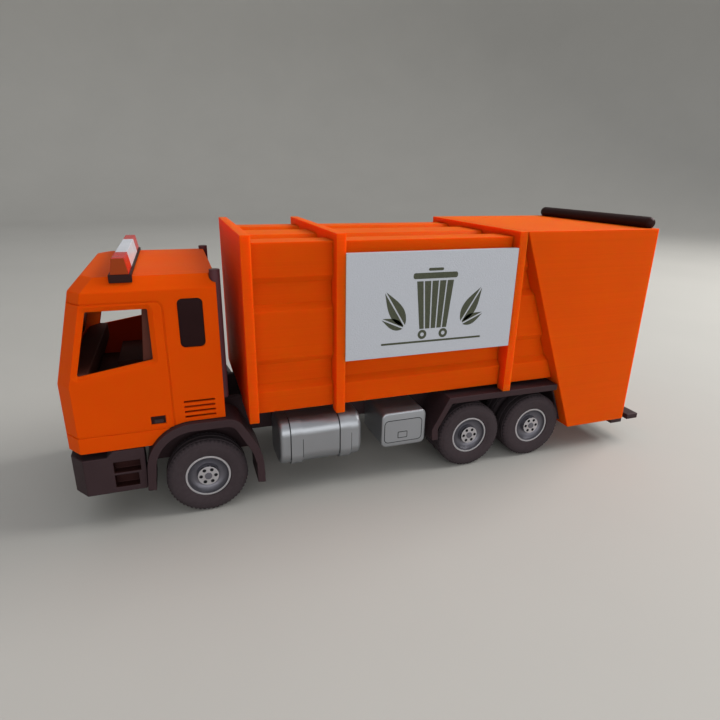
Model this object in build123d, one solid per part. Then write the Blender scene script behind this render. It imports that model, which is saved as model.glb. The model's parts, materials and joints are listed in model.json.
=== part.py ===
"""Refuse truck scale model, about 1:32: a moulded cab and chassis with a printed refuse body.

Millimetres. +X is the front, +Y the left side, +Z up, the ground is Z = 0.
The origin is under the middle of the model's bounding box.
"""

import os
from math import cos, hypot, pi, sin

from build123d import *

# ---- Driving dimensions ----
# Wheels and axles, which everything stands on.
wheel_radius = 15.1
wheelbase = 113.25
rear_axle_spacing = 32.85
front_axle_setback = 46.2  # cab front to the front axle
wheel_inset = 3.0  # rim face inside the body's side
axle_radius = 1.5
axle_clearance = 0.05
rim_radius = 8.4
rim_lip = 0.75
bowl_depth = 2.6
bowl_steps = 6
hub_radius = 3.9
hub_taper = 0.3
hub_hole_radius = 0.7
hub_hole_circle = 2.75
hub_hole_count = 6
hub_hole_depth = 1.2
hub_wall = 1.0  # between the holes' floor and the axle's end
cap_radius = 1.35
cap_height = 0.4
tyre_width = 9.4
tyre_bulge = 0.9
tyre_shoulder = 1.5
tread_edge = 0.4
sidewall_share = 0.45  # how far up the sidewall its widest place is
twin_gap = 1.0
tyre_fit = 0.05

# Chassis.
rail_rise = 6.9  # underside of the rails above the axles
rail_width = 3.0
rail_tyre_gap = 2.1
member_length = 4.0
member_rise = 2.0  # underside of a cross member above the rail's underside
member_drop = 3.0  # top of a cross member below the rail's top
member_setback = 12.0  # behind the body's front plate, and its middle rib's
pad_length = 8.0
pad_inset = 8.0  # cab pads from the cab's back and from the dashboard
carrier_length = 10.0
carrier_drop = 4.1  # underside of an axle carrier below the axle
carrier_thickness = 5.0
axle_tube_radius = 3.2
differential_radius = 6.2
bracket_length = 2.0  # rail to tank or tool box
bracket_rise = 1.0
bracket_height = 5.0
bracket_bite = 1.0  # how far a bracket runs into what it carries

# Refuse body.
body_half = 39.0
body_rise = 7.3  # underside of the container above the tyres
cab_gap = 8.4  # cab back to the body's front plate
first_bay = 33.7  # front plate's face to the middle rib's face
rib_thickness = 3.6
rib_depth = 5.0  # rib beyond the container's side
rib_rise = 2.5  # rear rib and tailgate above the container's roof
rib_crest = 0.6  # front plate and middle rib above that
rib_drop = 1.7  # rib below the container's underside
rail_slot_gap = 1.0  # the front plate's slot for the rails
container_height = 64.6
container_wall = 2.0
channel_depth = 2.2
channel_slant = 2.4
side_channels = ((11.1, 19.1), (42.1, 49.9))  # (low, high) of each recess above the underside
roof_channel_depth = 1.5
roof_channel_centre = 16.0
roof_channel_half = 5.3
label_rise = 19.6  # above the container's underside
label_height = 41.0
label_thickness = 2.0
tailgate_top = 67.8  # length along its top
tailgate_drop = 24.7  # below the container's underside
tailgate_slope_run = 35.0  # how far the front edge slants back from top to bottom
tailgate_tyre_gap = 1.75  # slanting front edge to the last tyre
tailgate_wall = 3.0
tailgate_rail_gap = 0.3
hopper_sill_rise = 21.2  # above the tailgate's underside
hopper_mouth_height = 40.0
hopper_cheek = 7.0  # mouth's edge inside the body's side
hopper_floor_thickness = 2.0
hopper_dip = 14.0
top_bar_radius = 2.6
top_bar_inset = 3.1  # from the tailgate's back
top_bar_flat = 0.4  # ground off where it lies on the tailgate
top_bar_side_gap = 0.8
step_overhang = 11.2  # rear step behind the tailgate
step_bar_width = 6.6
step_bar_height = 2.6
step_bar_spacing = 9.9
step_bar_drop = 1.8  # underside of the rear bar below the tailgate
step_side_gap = 1.2
step_arm_width = 3.0
step_arm_inset = 1.0
step_arm_bite = 4.0

# Cab.
cab_length = 54.2
cab_half = 36.0
cab_wall = 1.6
cab_sill = 9.0  # underside of the cab above the rails' underside
belt_rise = 25.0  # belt above the cab's underside
shoulder_rise = 31.7  # shoulder above the belt
roof_rise = 4.3  # roof above the shoulder
cab_rake = 7.6  # how far the windscreen leans back up to the shoulder
corner_run = 4.4  # front corner bevel, along X
corner_width = 6.0  # front corner bevel, along Y
roof_bevel = 4.0
door_to_back = 18.3  # door's rear groove to the cab's back
door_top_drop = 4.0  # below the shoulder
door_foot = 6.6  # door's lower groove above the cab's underside
door_corner = 2.2  # round of the door's upper rear corner
groove_width = 0.6
groove_depth = 0.35
window_front_low = 7.1  # window's lower front corner from the cab's front
window_front_high = 12.5
window_to_groove = 4.5  # window's rear edge to the door's rear groove
window_sill_front = 3.4  # above the belt
window_sill_back = 7.4
window_top_drop = 6.3  # below the shoulder
window_corner = 0.5
window_bevel = 1.7
window_bevel_depth = 0.9
quarter_to_back = 4.9
quarter_length = 8.4
quarter_sill = 11.0  # above the belt
quarter_top_drop = 3.3  # below the shoulder
quarter_radius = 1.8
vent_to_back = 3.3
vent_length = 10.9
vent_rise = 9.3  # above the cab's underside
vent_pitch = 1.95
vent_count = 4
vent_height = 0.7
grip_to_groove = 2.5  # grip recess to the door's rear groove
grip_length = 5.1
grip_rise = 8.1  # above the cab's underside
grip_height = 3.2
screen_pillar = 9.5  # windscreen's edge inside the cab's side
screen_sill = 4.0  # above the belt
screen_top_drop = 4.2  # below the shoulder
grille_inset = 15.0  # inside the cab's side
grille_rise = 7.0  # above the cab's underside
grille_drop = 3.0  # below the belt
grille_recess = 0.7
grille_slats = 4
slat_height = 1.2
slat_inset = 1.0
glass_thickness = 1.0
glass_inset = 0.3
glass_fit = 0.1  # clearance round an insert

# Cab interior, one moulding.
cab_floor_rise = 5.3  # above the front wheel arch
cab_floor_thickness = 1.6
seat_front_setback = 15.6  # from the cab's front
backrest_setback = 26.6
backrest_lean = 2.9
backrest_thickness = 4.0
seat_height = 5.4  # above the cab's floor
backrest_height = 35.4
seat_gap = 8.0  # between the seats
seat_side_gap = 1.0
dash_rear_setback = 10.4
dash_foot_setback = 7.2
dash_height = 14.4
dash_lip = 6.0
dash_gap = 0.8  # behind the cab's front wall

# Bumper and front mudguards.
bumper_height = 14.4
bumper_cab_gap = 2.6
bumper_front_thickness = 8.0
bumper_side_thickness = 6.0
wedge_front_setback = 12.2  # foot of the upstand under the door, from the cab's front
wedge_run = 2.2
pocket_near = 14.1  # step pockets from the cab's front
step_pockets = ((23.0, 8.0, 12.2), (22.0, 2.2, 7.0))  # (far end, low, high above the bumper's underside)
step_pocket_depth = 3.5
lamp_inset = 14.0  # lamp's centre inside the bumper's side
lamp_half_width = 5.5
lamp_height = 5.0
lamp_rise = 7.0  # lamp's centre above the bumper's underside
lamp_depth = 2.0
lamp_recess = 0.3
guard_inset = 0.6  # mudguards inside the body's side
guard_width = 15.4
guard_web = 1.4
arch_rise = 8.5  # above the tyres
arch_band = 3.0
arch_front = 21.5  # ahead of the front axle at its foot
arch_back = 21.4  # behind the front axle at its foot
arch_front_foot = 14.0
arch_back_foot = 9.8
arch_back_knee = 22.5
arch_back_top_run = 9.2
arch_front_lean = 1.6
arch_back_lean = 0.4
arch_front_radius = 17.0
arch_back_radius = 7.0
arch_knee_radius = 20.0
arch_gap = 0.2
web_foot = 4.0  # lower edge of the mudguard's web above the axle
guard_bracket_length = 10.0
guard_bracket_height = 3.0
guard_bracket_rise = 8.0  # above the rail's underside

# Rear mudguards.
fender_gap = 0.2  # under the ribs
fender_band = 2.9
fender_front = 19.8  # ahead of the first rear axle at its foot
fender_front_foot = 1.4  # above the axle
fender_knee = 6.5  # above the axle
fender_bow = 0.3
fender_shoulder_run = 7.3
fender_bracket_length = 8.0
tail_flap_thickness = 0.8
tail_flap_gap = 0.2  # to the tailgate
tail_flap_foot = 2.0  # above the tailgate's underside

# Stack pipes, sunk into the cab's rear corners, and the plate on the cab's back that carries them.
pipe_radius = 1.85
pipe_gap = 0.3  # to the notch in the cab's corner
pipe_rise = 1.3  # above the cab's roof
pipe_inset = 3.6  # pipe's axis inside the cab's side
pipe_foot_rise = 8.4  # above the rails
stack_plate_thickness = 1.2
stack_plate_rise = 1.5  # above the pipes' feet
stack_plate_height = 12.0

# Tank and tool box.
tank_length = 34.3
tank_ahead_share = 0.42  # share of the free room that lies ahead of the tank
tank_bottom = 12.4
tank_height = 20.0
tank_inset = 2.4  # inside the body's side
tank_round = 6.0
tank_end_round = 2.0
tank_bracket_length = 16.0
strap_width = 4.6
strap_from_end = 4.7
strap_depth = 0.5
box_length = 20.2
box_fender_gap = 2.55
box_bottom = 15.4
box_height = 15.8
box_inset = 2.6
box_chamfer = 2.2
box_face_chamfer = 0.8
box_bracket_length = 10.0

# Light bar.
bar_setback = 20.8  # its front edge behind the cab front
bar_base_length = 7.1
bar_side_gap = 1.4
bar_base_rise = 1.0  # above the roof
bar_base_drop = 1.7  # how far its ends reach down over the roof's bevels
bar_seat_gap = 0.1
lens_height = 5.3
lens_low_length = 5.8
lens_high_length = 3.9
lens_white_half = 19.4

# ---- Stations and heights worked out from the driving dimensions ----
slope_height = container_height + rib_rise + tailgate_drop
slope_rate = tailgate_slope_run / slope_height
tyre_top = 2 * wheel_radius
floor_height = tyre_top + body_rise
container_top = floor_height + container_height
rib_top = container_top + rib_rise
rib_bottom = floor_height - rib_drop
tailgate_bottom = floor_height - tailgate_drop

# The tailgate's slanting front edge clears the last tyre, so its top end stands this far ahead of that axle.
slope_ahead = (rib_top - wheel_radius) * slope_rate
slope_ahead -= (wheel_radius + tailgate_tyre_gap) * hypot(1, slope_rate)
axle_span = wheelbase + rear_axle_spacing
overall_length = front_axle_setback + axle_span - slope_ahead + tailgate_top + step_overhang
front_x = overall_length / 2
cab_back_x = front_x - cab_length
plate_x = cab_back_x - cab_gap
mid_rib_x = plate_x - first_bay
front_axle_x = front_x - front_axle_setback
rear_axle_xs = (front_axle_x - wheelbase, front_axle_x - axle_span)
tailgate_front_x = rear_axle_xs[1] + slope_ahead
rear_rib_x = tailgate_front_x + rib_thickness
tailgate_back_x = tailgate_front_x - tailgate_top

rim_face = body_half - wheel_inset
container_half = body_half - rib_depth
rail_outer = rim_face + tyre_bulge - 2 * tyre_width - twin_gap - rail_tyre_gap
rail_inner = rail_outer - rail_width
rail_bottom = wheel_radius + rail_rise
rail_top = floor_height
guard_outer = body_half - guard_inset
guard_inner = guard_outer - guard_width
arch_top = tyre_top + arch_rise
fender_top = rib_bottom - fender_gap

cab_bottom = rail_bottom + cab_sill
cab_belt = cab_bottom + belt_rise
cab_shoulder = cab_belt + shoulder_rise
cab_top = cab_shoulder + roof_rise
cab_floor = arch_top + cab_floor_rise
cab_floor_top = cab_floor + cab_floor_thickness
door_back_x = cab_back_x + door_to_back
bumper_top = cab_bottom - bumper_cab_gap
bumper_bottom = bumper_top - bumper_height
bar_base_top = cab_top + bar_base_rise

fender_front_x = rear_axle_xs[0] + fender_front
box_front_x = fender_front_x + box_fender_gap + box_length
tank_room = front_axle_x - arch_back - box_front_x - tank_length
tank_front_x = front_axle_x - arch_back - tank_ahead_share * tank_room
carried_inner = rail_outer + bracket_length
hopper_sill = tailgate_bottom + hopper_sill_rise

past = 1.0  # how far a cutting shape runs past the surface that it cuts


# ---- Small helpers ----
def block(x0, x1, y0, y1, z0, z1):
    """A box between two opposite corners."""
    middle = Pos((x0 + x1) / 2, (y0 + y1) / 2, (z0 + z1) / 2)
    return middle * Box(abs(x1 - x0), abs(y1 - y0), abs(z1 - z0))


def side_face(points, y=0.0):
    """A face in the plane Y = y from (x, z) points."""
    return make_face(Polyline(*[(x, y, z) for x, z in points], close=True))


def side_prism(points, y0, y1):
    """A side view outline of (x, z) points, extruded from y0 to y1."""
    return extrude(side_face(points, y0), amount=y1 - y0, dir=(0, 1, 0))


def end_prism(points, x0, x1):
    """An end view outline of (y, z) points, extruded from x0 to x1."""
    outline = make_face(Polyline(*[(x0, y, z) for y, z in points], close=True))
    return extrude(outline, amount=x1 - x0, dir=(1, 0, 0))


def rounded_side(x0, x1, z0, z1, radius, y0, y1):
    """A box whose four edges along Y are rounded."""
    solid = block(x0, x1, y0, y1, z0, z1)
    return fillet(solid.edges().filter_by(Axis.Y), radius)


def mirrored(solid):
    """The same piece on the right side."""
    return mirror(solid, about=Plane.XZ)


def both(solid):
    """A left piece and its mirror image, as one shape of two solids."""
    return solid + mirrored(solid)


def slope_x(z):
    """X of the tailgate's slanting front edge at a height."""
    return tailgate_front_x - (rib_top - z) * slope_rate


def behind_slope(gap):
    """Everything behind the tailgate's slanting front edge, less a gap, as a cutter."""
    top, low = rib_top + past, -past
    back = tailgate_back_x - tailgate_top
    return side_prism(
        [(slope_x(top) + gap, top), (slope_x(low) + gap, low), (back, low), (back, top)],
        -body_half - past, body_half + past,
    )


# ---- Cab ----
def cab_section(z, inset, rake, bevel):
    """Cab outline at a height: rake moves the front back, bevel draws in the front and the sides."""
    back = cab_back_x + inset
    half = cab_half - inset - bevel
    front = front_x - rake - inset - bevel
    start = front - corner_run
    nose = half - corner_width
    points = [(back, -half), (start, -half), (front, -nose), (front, nose), (start, half), (back, half)]
    return make_face(Polyline(*[(x, y, z) for x, y in points], close=True))


def cab_solid(inset, bottom):
    """The cab's outer form, or with an inset the room inside it."""
    top = cab_top - inset
    low = cab_section(bottom, inset, 0, 0)
    belt = cab_section(cab_belt, inset, 0, 0)
    shoulder = cab_section(cab_shoulder, inset, cab_rake, 0)
    roof = cab_section(top, inset, cab_rake, roof_bevel * (top - cab_shoulder) / roof_rise)
    solid = loft([low, belt], ruled=True)
    solid += loft([belt, shoulder], ruled=True)
    solid += loft([shoulder, roof], ruled=True)
    return solid


def arch_outline(grow):
    """Outer outline of the front wheel arch as a face at Y = 0, grown by an amount."""
    fore = front_axle_x + arch_front
    aft = front_axle_x - arch_back
    points = [
        (fore, arch_front_foot),
        (fore - arch_front_lean, arch_top),
        (aft + arch_back_top_run, arch_top),
        (aft + arch_back_lean, arch_back_knee),
        (aft, arch_back_foot),
    ]
    radii = [arch_front_radius, arch_back_radius, arch_knee_radius]
    path = FilletPolyline(*[(x, 0, z) for x, z in points], radius=radii)
    face = make_face([path, Line(path @ 1, path @ 0)])
    return offset(face, amount=grow, kind=Kind.INTERSECTION) if grow else face


def arch_solid(grow, y0, y1):
    """The front wheel arch's outline as a solid between two Y planes."""
    return extrude(Pos(0, y0, 0) * arch_outline(grow), amount=y1 - y0, dir=(0, 1, 0))


def window_face(grow, y):
    """The door window's outline in the plane Y = y, grown by an amount."""
    back = door_back_x + window_to_groove
    top = cab_shoulder - window_top_drop
    points = [
        (front_x - window_front_low, cab_belt + window_sill_front), (front_x - window_front_high, top),
        (back, top), (back, cab_belt + window_sill_back),
    ]
    face = side_face(points, y)
    if grow:
        face = offset(face, amount=grow, kind=Kind.INTERSECTION)
    return fillet(face.vertices(), window_corner + grow)


def window_cut():
    """The door window's opening with its bevelled edge."""
    depth = cab_half - 3 * cab_wall
    opening = extrude(window_face(0, depth), amount=cab_half + past - depth, dir=(0, 1, 0))
    foot = window_face(0, cab_half - window_bevel_depth)
    return opening + loft([foot, window_face(window_bevel, cab_half)], ruled=True)


def quarter_prism(shrink, y0, y1):
    """The rear side window's opening, or the insert that fills it."""
    back = cab_back_x + quarter_to_back
    return rounded_side(
        back + shrink, back + quarter_length - shrink,
        cab_belt + quarter_sill + shrink, cab_shoulder - quarter_top_drop - shrink,
        quarter_radius - shrink, y0, y1,
    )


def screen_x(z):
    """X of the cab's front face at a height above the belt."""
    return front_x - cab_rake * (z - cab_belt) / shoulder_rise


def screen_prism(shrink, front, back):
    """A slab parallel to the windscreen, from front to back behind the cab's front face."""
    low, high = cab_belt + screen_sill + shrink, cab_shoulder - screen_top_drop - shrink
    points = [
        (screen_x(low) - front, low), (screen_x(high) - front, high),
        (screen_x(high) - back, high), (screen_x(low) - back, low),
    ]
    half = cab_half - screen_pillar - shrink
    return side_prism(points, -half, half)


def grille_block(back, front, shrink):
    """A block as wide and high as the grille's opening, less a clearance."""
    half = cab_half - grille_inset - shrink
    return block(back, front, -half, half, cab_bottom + grille_rise + shrink, cab_belt - grille_drop - shrink)


def door_slab(grow):
    """The left door's outline, grown by an amount, as a slab over the side and the corner's bevel."""
    rear, ahead = door_back_x - grow, front_x + past + grow
    low, top = cab_bottom + door_foot - grow, cab_shoulder - door_top_drop + grow
    face = side_face([(ahead, low), (ahead, top), (rear, top), (rear, low)], cab_half - corner_width)
    upper_rear = face.vertices().group_by(Axis.Z)[-1].sort_by(Axis.X)[0]
    face = fillet(upper_rear, door_corner + grow)
    return extrude(face, amount=corner_width + past, dir=(0, 1, 0))


def door_grooves():
    """Grooves round the left door that run on over the corner's bevel, as one cutter."""
    return door_slab(groove_width) - door_slab(0) - cab_solid(groove_depth, cab_bottom)


def cab_side_cuts():
    """What is cut into the left side: door window, rear side window, vents, grip recess, grooves."""
    through, outside = cab_half - 3 * cab_wall, cab_half + past
    cut = window_cut() + quarter_prism(0, through, outside)
    vent_x = cab_back_x + vent_to_back
    for row in range(vent_count):
        z = cab_bottom + vent_rise + row * vent_pitch
        cut += block(vent_x, vent_x + vent_length, through, outside, z, z + vent_height)
    grip_x = door_back_x + grip_to_groove
    grip_y = cab_half - cab_wall / 2
    grip_z = cab_bottom + grip_rise
    cut += block(grip_x, grip_x + grip_length, grip_y, outside, grip_z, grip_z + grip_height)
    return cut + door_grooves()


def stack_place(z):
    """Place on the left stack pipe's axis at a height."""
    return Pos(cab_back_x, cab_half - pipe_inset, z)


def upright_rod(radius, height):
    """A cylinder that stands on its place."""
    return Cylinder(radius, height, align=(Align.CENTER, Align.CENTER, Align.MIN))


def notch_walls(thickness):
    """Uprights round both stack pipes' notches, as thick as asked outside the notches."""
    return both(stack_place(0) * upright_rod(pipe_radius + pipe_gap + thickness, cab_top + past))


def cab_shell():
    """The cab's moulding: hollow, open below, with its windows cut."""
    shell = cab_solid(0, cab_bottom) - (cab_solid(cab_wall, cab_bottom - past) - notch_walls(cab_wall))
    side = cab_half + past
    shell -= arch_solid(arch_gap, -side, side)
    shell -= block(cab_back_x - past, front_axle_x, -side, side, 0, arch_top + arch_gap)
    cuts = cab_side_cuts()
    shell -= cuts
    shell -= mirrored(cuts)
    shell -= screen_prism(0, -past, 3 * cab_wall)
    shell -= grille_block(front_x - 2 * cab_wall, front_x + past, 0)
    return shell - notch_walls(0)


def windscreen():
    """Dark windscreen insert, in its opening in the cab's front wall."""
    return screen_prism(glass_fit, glass_inset, glass_inset + glass_thickness)


def quarter_windows():
    """Dark inserts in the rear side windows."""
    outer = cab_half - glass_inset
    return both(quarter_prism(glass_fit, outer - glass_thickness, outer))


def grille():
    """Dark grille panel with horizontal slats, in its opening under the windscreen."""
    panel = grille_block(front_x - cab_wall, front_x - grille_recess, glass_fit)
    low, high = cab_bottom + grille_rise, cab_belt - grille_drop
    half = cab_half - grille_inset - slat_inset
    for row in range(1, grille_slats + 1):
        z = low + (high - low) * row / (grille_slats + 1) - slat_height / 2
        panel += block(front_x - grille_recess, front_x, -half, half, z, z + slat_height)
    return panel


def cab_interior():
    """Dark moulding inside the cab: floor, two seats, the tunnel between them and the dashboard."""
    room = cab_wall + glass_fit
    half = cab_half - room
    back = cab_back_x + room
    fore = screen_x(cab_floor_top + dash_height) - cab_wall - dash_gap
    top = cab_floor_top
    tray = block(back, fore, -half, half, cab_floor, top)
    seat_x = front_x - seat_front_setback
    rest_x = front_x - backrest_setback
    seat_top = top + seat_height
    rest_top = top + backrest_height
    rest = [
        (rest_x, top), (rest_x - backrest_lean, rest_top),
        (rest_x - backrest_lean - backrest_thickness, rest_top), (rest_x - backrest_thickness, top),
    ]
    y0, y1 = seat_gap / 2, half - seat_side_gap
    seat = block(rest_x - backrest_thickness, seat_x, y0, y1, top, seat_top) + side_prism(rest, y0, y1)
    tray += seat
    tray += mirrored(seat)
    tray += block(rest_x, fore, -y0, y0, top, top + seat_height / 2)
    dash_top = top + dash_height
    dash_x = front_x - dash_rear_setback
    dash = [
        (fore, top), (fore, dash_top), (dash_x, dash_top), (dash_x, dash_top - dash_lip),
        (front_x - dash_foot_setback, top),
    ]
    tray += side_prism(dash, -half, half)
    return (tray & cab_solid(room, cab_bottom)) - notch_walls(room)


# ---- Bumper and mudguards ----
def lamp_block(front, shrink):
    """The left lamp's pocket in the bumper, or the lamp that fills it."""
    y = cab_half - lamp_inset
    z = bumper_bottom + lamp_rise
    half, rise = lamp_half_width - shrink, lamp_height / 2 - shrink
    return block(front_x - lamp_depth, front, y - half, y + half, z - rise, z + rise)


def bumper():
    """Bumper with bevelled corners, two step pockets a side, lamp pockets and open behind."""
    z0, z1 = bumper_bottom, bumper_top
    back = front_axle_x + arch_front - arch_gap
    half, nose, start = cab_half, cab_half - corner_width, front_x - corner_run
    inner_x = front_x - bumper_front_thickness
    inner_y = cab_half - bumper_side_thickness
    plan = [
        (back, half), (start, half), (front_x, nose), (front_x, -nose), (start, -half), (back, -half),
        (back, -inner_y), (inner_x, -inner_y), (inner_x, inner_y), (back, inner_y),
    ]
    face = make_face(Polyline(*[(x, y, z0) for x, y in plan], close=True))
    solid = extrude(face, amount=z1 - z0, dir=(0, 0, 1))
    wedge_x = front_x - wedge_front_setback
    top = cab_bottom - arch_gap
    wedge = side_prism([(back, z1), (wedge_x, z1), (wedge_x - wedge_run, top), (back, top)], inner_y, half)
    solid += wedge
    solid += mirrored(wedge)
    for far, low, high in step_pockets:
        pocket = block(
            front_x - far, front_x - pocket_near, half - step_pocket_depth, half + past, z0 + low, z0 + high
        )
        solid -= both(pocket)
    solid -= arch_solid(arch_gap, -half - past, half + past)
    return solid - both(lamp_block(front_x + past, 0))


def headlamps():
    """Lamp glasses in the bumper's pockets."""
    return both(lamp_block(front_x - lamp_recess, glass_fit))


def front_mudguard():
    """Left front mudguard: a band over the wheel, with a web on its inner side carried by the rail."""
    guard = arch_solid(0, guard_inner, guard_outer)
    guard -= arch_solid(-arch_band, guard_inner + guard_web, guard_outer + past)
    aft = front_axle_x - arch_back + arch_band
    fore = front_axle_x + arch_front - arch_band
    guard -= block(aft, fore, guard_inner - past, guard_outer + past, 0, wheel_radius + web_foot)
    x0 = front_axle_x - guard_bracket_length / 2
    z0 = rail_bottom + guard_bracket_rise
    return guard + block(
        x0, x0 + guard_bracket_length, rail_outer, guard_inner, z0, z0 + guard_bracket_height
    )


def rear_mudguard():
    """Left rear mudguard: one strip over both rear wheels, bent down in front and behind."""
    fore = fender_front_x
    foot, knee = wheel_radius + fender_front_foot, wheel_radius + fender_knee
    under = fender_top - fender_band
    tail_x = slope_x(fender_top) + tail_flap_gap
    shoulder = fore - fender_shoulder_run
    strip = side_prism(
        [
            (fore, foot), (fore + fender_bow, knee), (shoulder, fender_top), (tail_x, fender_top),
            (tail_x, under), (shoulder - fender_band / 2, under),
            (fore + fender_bow - fender_band, knee), (fore - fender_band, foot),
        ],
        guard_inner, guard_outer,
    )
    low = tailgate_bottom + tail_flap_foot
    near, far = tail_flap_gap, tail_flap_gap + tail_flap_thickness
    flap = [
        (slope_x(fender_top) + near, fender_top), (slope_x(low) + near, low),
        (slope_x(low) + far, low), (slope_x(fender_top) + far, fender_top),
    ]
    strip += side_prism(flap, guard_inner, container_half)
    x0 = (rear_axle_xs[0] + rear_axle_xs[1] - fender_bracket_length) / 2
    strip += block(x0, x0 + fender_bracket_length, rail_outer, guard_inner, under, fender_top)
    return strip - behind_slope(tail_flap_gap)


# ---- Chassis ----
def chassis_frame():
    """Two rails, the cross members between them and the pads under the cab."""
    fore = front_x - bumper_front_thickness
    aft = slope_x(rail_bottom)
    frame = both(block(aft, fore, rail_inner, rail_outer, rail_bottom, rail_top))
    half = member_length / 2
    members = [
        fore - half, front_axle_x, plate_x - member_setback, mid_rib_x - member_setback,
        rear_axle_xs[0], rear_axle_xs[1],
    ]
    for x in members:
        frame += block(
            x - half, x + half, -rail_inner, rail_inner, rail_bottom + member_rise, rail_top - member_drop
        )
    pads = (cab_back_x + pad_inset, front_x - seat_front_setback - pad_length)
    for x in pads:
        frame += both(block(x, x + pad_length, rail_inner, rail_outer, rail_top, cab_floor))
    return frame - behind_slope(tailgate_rail_gap)


def axle_carrier(x, driven):
    """Plates under the rails that an axle turns in, joined by a tube; a driven one has a round housing."""
    half = carrier_length / 2
    low = wheel_radius - carrier_drop
    inner = rail_outer - carrier_thickness
    carrier = both(block(x - half, x + half, inner, rail_outer, low, rail_bottom))
    across = Pos(x, 0, wheel_radius) * Rot(90, 0, 0)
    carrier += across * Cylinder(axle_tube_radius, 2 * rail_outer)
    if driven:
        carrier += Pos(x, 0, wheel_radius) * Sphere(differential_radius)
    return carrier - across * Cylinder(axle_radius + axle_clearance, 2 * body_half)


def stack_pipe():
    """Left stack pipe, sunk into the notch in the cab's rear corner."""
    foot = rail_top + pipe_foot_rise
    return stack_place(foot) * upright_rod(pipe_radius, cab_top + pipe_rise - foot)


def stack_frame():
    """Plate on the cab's back that carries the two stack pipes."""
    half = cab_half - pipe_inset
    low = rail_top + pipe_foot_rise + stack_plate_rise
    plate = block(
        cab_back_x - stack_plate_thickness, cab_back_x, -half, half, low, low + stack_plate_height
    )
    return plate - both(stack_pipe())


def rear_step():
    """Two cross bars at the rear, carried by arms from under the tailgate."""
    back = tailgate_back_x - step_overhang
    low = tailgate_bottom - step_bar_drop
    half = body_half - step_side_gap
    step = block(back, back + step_bar_width, -half, half, low, low + step_bar_height)
    ahead = back + step_bar_spacing
    low = tailgate_bottom - step_bar_height
    step += block(ahead, ahead + step_bar_width, -half, half, low, tailgate_bottom)
    arm_y = rail_inner + step_arm_width
    arm = block(back + step_arm_inset, ahead + step_arm_bite, rail_inner, arm_y, low, tailgate_bottom)
    return step + both(arm)


# ---- Refuse body ----
def container_outline():
    """End view of the container: channelled sides and roof, as (y, z) points."""
    side = [(container_half, floor_height)]
    recess = container_half - channel_depth
    for low, high in side_channels:
        low, high = floor_height + low, floor_height + high
        side += [(container_half, low - channel_slant), (recess, low)]
        side += [(recess, high), (container_half, high + channel_slant)]
    side.append((container_half, container_top))
    outer = roof_channel_centre + roof_channel_half
    inner = roof_channel_centre - roof_channel_half
    slant = roof_channel_depth * channel_slant / channel_depth
    floor = container_top - roof_channel_depth
    side += [(outer + slant, container_top), (outer, floor), (inner, floor), (inner - slant, container_top)]
    return side + [(-y, z) for y, z in reversed(side)]


def container():
    """Hollow container between the front plate and the tailgate, its back end cut on the slant."""
    back = slope_x(floor_height)
    front = plate_x - rib_thickness
    solid = end_prism(container_outline(), back, front)
    half = container_half - channel_depth - container_wall
    roof = container_top - roof_channel_depth - container_wall
    solid -= block(
        back - past, front - container_wall, -half, half, floor_height + container_wall, roof
    )
    return solid - behind_slope(0)


def rib_ends(x, top):
    """A rib's thickness as a plain upright block, from its front face at x."""
    return block(x - rib_thickness, x, -body_half, body_half, rib_bottom, top)


def front_plate():
    """Plate across the front of the body, a little taller and wider than the container."""
    slot = rail_outer + rail_slot_gap
    cut = block(plate_x - rib_thickness - past, plate_x + past, -slot, slot, 0, floor_height)
    return rib_ends(plate_x, rib_top + rib_crest) - cut


def rib(x, top):
    """Rib round the sides and roof of the container, from its front face at x."""
    x0, x1 = x - rib_thickness - past, x + past
    ring = rib_ends(x, top) - end_prism(container_outline(), x0, x1)
    return ring - block(x0, x1, -container_half, container_half, 0, floor_height + past)


def label_plate():
    """White plate on the left side, between the middle and the rear rib."""
    z0 = floor_height + label_rise
    return block(
        rear_rib_x, mid_rib_x - rib_thickness, body_half - label_thickness, body_half, z0, z0 + label_height
    )


def tailgate():
    """Tailgate: a wedge-sided box with a hopper mouth in its back."""
    outline = [
        (tailgate_front_x, rib_top), (tailgate_back_x, rib_top),
        (tailgate_back_x, tailgate_bottom), (slope_x(tailgate_bottom), tailgate_bottom),
    ]
    wall = tailgate_wall
    low, high = tailgate_bottom + wall, rib_top - wall
    inner_back = tailgate_back_x + wall
    room = [
        (slope_x(high) - wall, high), (inner_back, high), (inner_back, low), (slope_x(low) - wall, low),
    ]
    gate = side_prism(outline, -body_half, body_half)
    gate -= side_prism(room, -body_half + wall, body_half - wall)
    mouth = body_half - hopper_cheek
    lintel = hopper_sill + hopper_mouth_height
    return gate - block(tailgate_back_x - past, inner_back + past, -mouth, mouth, hopper_sill, lintel)


def hopper_floor():
    """Curved trough inside the tailgate, from the mouth's sill up to the front wall."""
    back = tailgate_back_x + tailgate_wall
    half = body_half - tailgate_wall
    thick = hopper_floor_thickness
    fore = slope_x(hopper_sill) - tailgate_wall
    middle = (back + fore) / 2
    dip = hopper_sill - hopper_dip
    under = hopper_sill - thick
    lower = ThreePointArc((back, 0, under), (middle, 0, dip - thick), (fore, 0, under))
    upper = ThreePointArc((fore, 0, hopper_sill), (middle, 0, dip), (back, 0, hopper_sill))
    face = make_face([lower, upper, Line(lower @ 1, upper @ 0), Line(upper @ 1, lower @ 0)])
    trough = extrude(Pos(0, -half, 0) * face, amount=2 * half, dir=(0, 1, 0))
    top, low = hopper_sill + past, tailgate_bottom
    return trough - side_prism(
        [
            (slope_x(top) - tailgate_wall, top), (slope_x(low) - tailgate_wall, low),
            (tailgate_front_x, low), (tailgate_front_x, top),
        ],
        -half - past, half + past,
    )


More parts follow.
